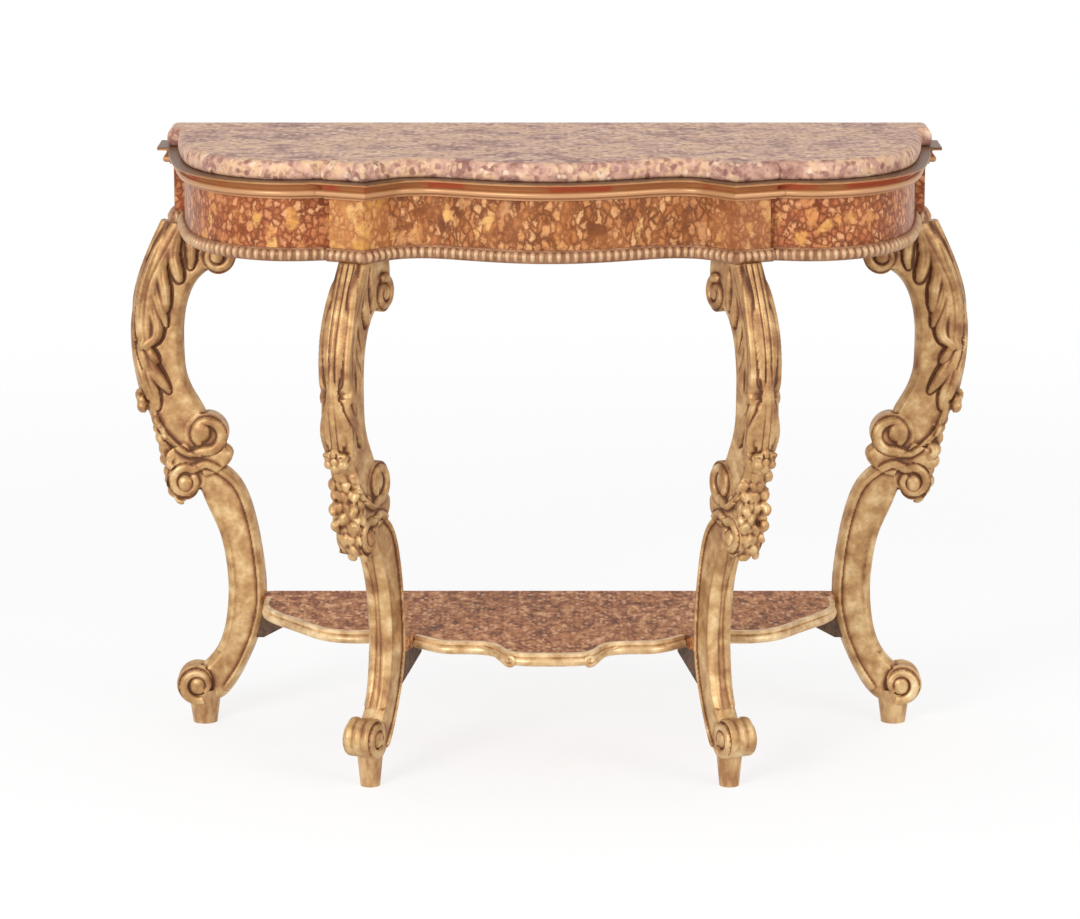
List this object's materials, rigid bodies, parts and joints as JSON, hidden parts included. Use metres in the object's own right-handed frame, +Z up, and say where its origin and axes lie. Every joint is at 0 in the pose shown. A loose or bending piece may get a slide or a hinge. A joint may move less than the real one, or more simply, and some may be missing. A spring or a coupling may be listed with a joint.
{
  "type": "pier table",
  "caption": "Half-round pier table to stand against a wall, with a loose shaped stone top, a bowed marbled frieze, carved gilt scroll legs and a low shaped shelf.",
  "frame": {"origin": "on the floor, under the middle of the table's bounding box", "axes": "+X to the right of someone facing the table, -Y towards that person, +Y towards the wall, +Z up"},
  "size_m": [1.233, 0.4848, 0.9],
  "materials": {
    "mottled_stone": "polished",
    "gilt_carving": "satin",
    "gilt_cornice": "satin",
    "gilt_bead": "satin",
    "marbled_frieze": "gloss",
    "marbled_shelf": "satin",
    "gilt_shelf_edge": "satin",
    "bare_wood": "matte",
    "dowel_wood": "matte",
    "screw_steel": "satin"
  },
  "bodies": {
    "frame": {"cornice_centre": "gilt_cornice", "cornice_ear_left": "gilt_cornice", "cornice_ear_right": "gilt_cornice", "cornice_side_left": "gilt_cornice", "cornice_side_right": "gilt_cornice", "cornice_post_left": "gilt_cornice", "cornice_post_right": "gilt_cornice", "bead_centre": "gilt_bead", "bead_ear_left": "gilt_bead", "bead_ear_right": "gilt_bead", "bead_side_left": "gilt_bead", "bead_side_right": "gilt_bead", "bead_post_left": "gilt_bead", "bead_post_right": "gilt_bead", "apron_rail": "marbled_frieze", "side_rail_left": "marbled_frieze", "side_rail_right": "marbled_frieze", "front_post_left": "marbled_frieze", "front_post_right": "marbled_frieze", "back_post_left": "marbled_frieze", "back_post_right": "marbled_frieze", "back_rail": "bare_wood", "top_bearer_left": "bare_wood", "top_bearer_right": "bare_wood", "glue_blocks": "bare_wood", "leg_front_left": "gilt_carving", "leg_front_right": "gilt_carving", "leg_back_left": "gilt_carving", "leg_back_right": "gilt_carving", "foot_front_left": "gilt_carving", "foot_front_right": "gilt_carving", "foot_back_left": "gilt_carving", "foot_back_right": "gilt_carving", "knee_leaf_front_left": "gilt_carving", "knee_leaf_front_right": "gilt_carving", "knee_leaf_back_left": "gilt_carving", "knee_leaf_back_right": "gilt_carving", "knee_bud_front_left": "gilt_carving", "knee_bud_front_right": "gilt_carving", "knee_bud_back_left": "gilt_carving", "knee_bud_back_right": "gilt_carving", "shelf_board": "marbled_shelf", "shelf_edge_centre": "gilt_shelf_edge", "shelf_edge_left": "gilt_shelf_edge", "shelf_edge_right": "gilt_shelf_edge", "shelf_bracket_front_left": "bare_wood", "shelf_bracket_front_right": "bare_wood", "shelf_bracket_back_left": "bare_wood", "shelf_bracket_back_right": "bare_wood", "leg_dowels": "dowel_wood", "shelf_screws": "screw_steel"},
    "top": {"top_slab": "mottled_stone"}
  },
  "joints": [
    {"name": "top_lift", "type": "slide", "parent": "frame", "child": "top", "axis": [0, 0, 1], "range_m": [0, 0.12]}
  ]
}
